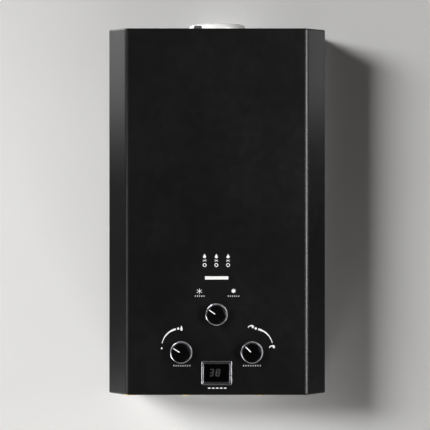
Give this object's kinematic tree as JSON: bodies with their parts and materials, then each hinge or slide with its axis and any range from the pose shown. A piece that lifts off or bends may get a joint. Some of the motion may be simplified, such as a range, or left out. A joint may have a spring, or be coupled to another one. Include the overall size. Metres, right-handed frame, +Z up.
{
  "type": "tankless gas water heater",
  "caption": "Wall-hung instant gas water heater: folded black cover with bevelled sides, flue collar on top, knobs and a small display low on the front, pipe ends below.",
  "frame": {"origin": "centre of the back plate on its wall face", "axes": "+X to the right seen from the front, +Y into the wall, +Z up"},
  "size_m": [0.3314, 0.1708, 0.5705],
  "materials": {
    "case_paint": "satin black powder coat, slightly mottled",
    "clip_steel": "dark coated sheet steel",
    "galvanised_sheet": "galvanised sheet with a faint spangle",
    "screw_steel": "zinc-plated steel",
    "flue_enamel": "white coated sheet",
    "copper": "copper, lightly tarnished",
    "burner_steel": "pressed stainless steel",
    "cast_aluminium": "die-cast, matt",
    "brass": "machined brass",
    "electrode_ceramic": "glazed white ceramic",
    "valve_rubber": "black nitrile rubber",
    "coil_plastic": "black moulded plastic",
    "stem_steel": "turned stainless steel",
    "switch_plastic": "black moulded plastic",
    "igniter_plastic": "black moulded plastic",
    "box_plastic": "black moulded plastic, fine grain",
    "cell_jacket": "printed steel jacket, plain",
    "display_frame": "glossy black moulding",
    "display_glass": "dark tinted window",
    "sight_glass": "frosted heat-proof glass",
    "lead_silicone": "silicone insulation",
    "knob_plastic": "satin black moulding with a white pointer",
    "knob_chrome": "bright plated ring"
  },
  "bodies": {
    "case": {"back_plate": "galvanised_sheet", "battery_box": "box_plastic", "battery_left": "cell_jacket", "battery_right": "cell_jacket", "bottom_plate": "galvanised_sheet", "burner_bars": "burner_steel", "burner_tray": "burner_steel", "chamber_brackets": "galvanised_sheet", "chamber_coil": "copper", "cold_connector": "brass", "cold_pipe": "copper", "combustion_chamber": "copper", "cover_clip": "clip_steel", "cover_screws": "screw_steel", "diaphragm": "valve_rubber", "display_bezel": "display_frame", "display_module": "igniter_plastic", "display_window": "display_glass", "draft_hood": "galvanised_sheet", "exchanger_tube": "copper", "fin_pack": "copper", "flame_sensor": "electrode_ceramic", "flue_collar": "flue_enamel", "front_cover": "case_paint", "gas_connector": "brass", "gas_pipe": "cast_aluminium", "gas_valve_body": "cast_aluminium", "gas_valve_cap": "cast_aluminium", "hot_connector": "brass", "hot_pipe": "copper", "injector_manifold": "cast_aluminium", "injector_nozzles": "brass", "microswitch": "switch_plastic", "overheat_thermostat": "coil_plastic", "plate_screws": "screw_steel", "pulse_igniter": "igniter_plastic", "relief_valve": "brass", "safety_solenoid": "coil_plastic", "season_valve": "cast_aluminium", "sensor_lead": "lead_silicone", "sight_window": "sight_glass", "spark_electrode": "electrode_ceramic", "spark_lead": "lead_silicone", "switch_bracket": "galvanised_sheet", "temperature_probe": "coil_plastic", "water_valve_body": "brass", "water_valve_cover": "brass"},
    "season_control": {"knob_season": "knob_plastic", "ring_season": "knob_chrome", "spindle_season": "stem_steel"},
    "gas_control": {"knob_gas": "knob_plastic", "ring_gas": "knob_chrome", "spindle_gas": "stem_steel"},
    "water_control": {"knob_water": "knob_plastic", "ring_water": "knob_chrome", "spindle_water": "stem_steel"},
    "door": {"battery_door": "box_plastic"},
    "stem": {"link_stem": "stem_steel", "gas_valve_disc": "valve_rubber"},
    "lever": {"microswitch_lever": "stem_steel"}
  },
  "joints": [
    {"name": "season_turn", "type": "hinge", "parent": "case", "child": "season_control", "pos_m": [0, -0.155, -0.154], "axis": [0, 1, 0], "range_deg": [0, 110]},
    {"name": "gas_turn", "type": "hinge", "parent": "case", "child": "gas_control", "pos_m": [-0.053, -0.155, -0.2107], "axis": [0, 1, 0], "range_deg": [-18, 58]},
    {"name": "water_turn", "type": "hinge", "parent": "case", "child": "water_control", "pos_m": [0.053, -0.155, -0.2107], "axis": [0, 1, 0], "range_deg": [0, 121]},
    {"name": "battery_door_swing", "type": "hinge", "parent": "case", "child": "door", "pos_m": [0.1145, -0.0062, -0.2693], "axis": [1, 0, 0], "range_deg": [0, 90]},
    {"name": "stem_slide", "type": "slide", "parent": "case", "child": "stem", "axis": [-1, 0, 0], "range_m": [0, 0.005], "stiffness_N_per_m": 300, "springref_m": -0.002},
    {"name": "lever_swing", "type": "hinge", "parent": "case", "child": "lever", "pos_m": [0.0111, -0.08, -0.2337], "axis": [0, -1, 0], "range_deg": [0, 17.6]}
  ],
  "couplings": [
    {"joint": "lever_swing", "follows": "stem_slide", "rad_per_m": 61}
  ]
}
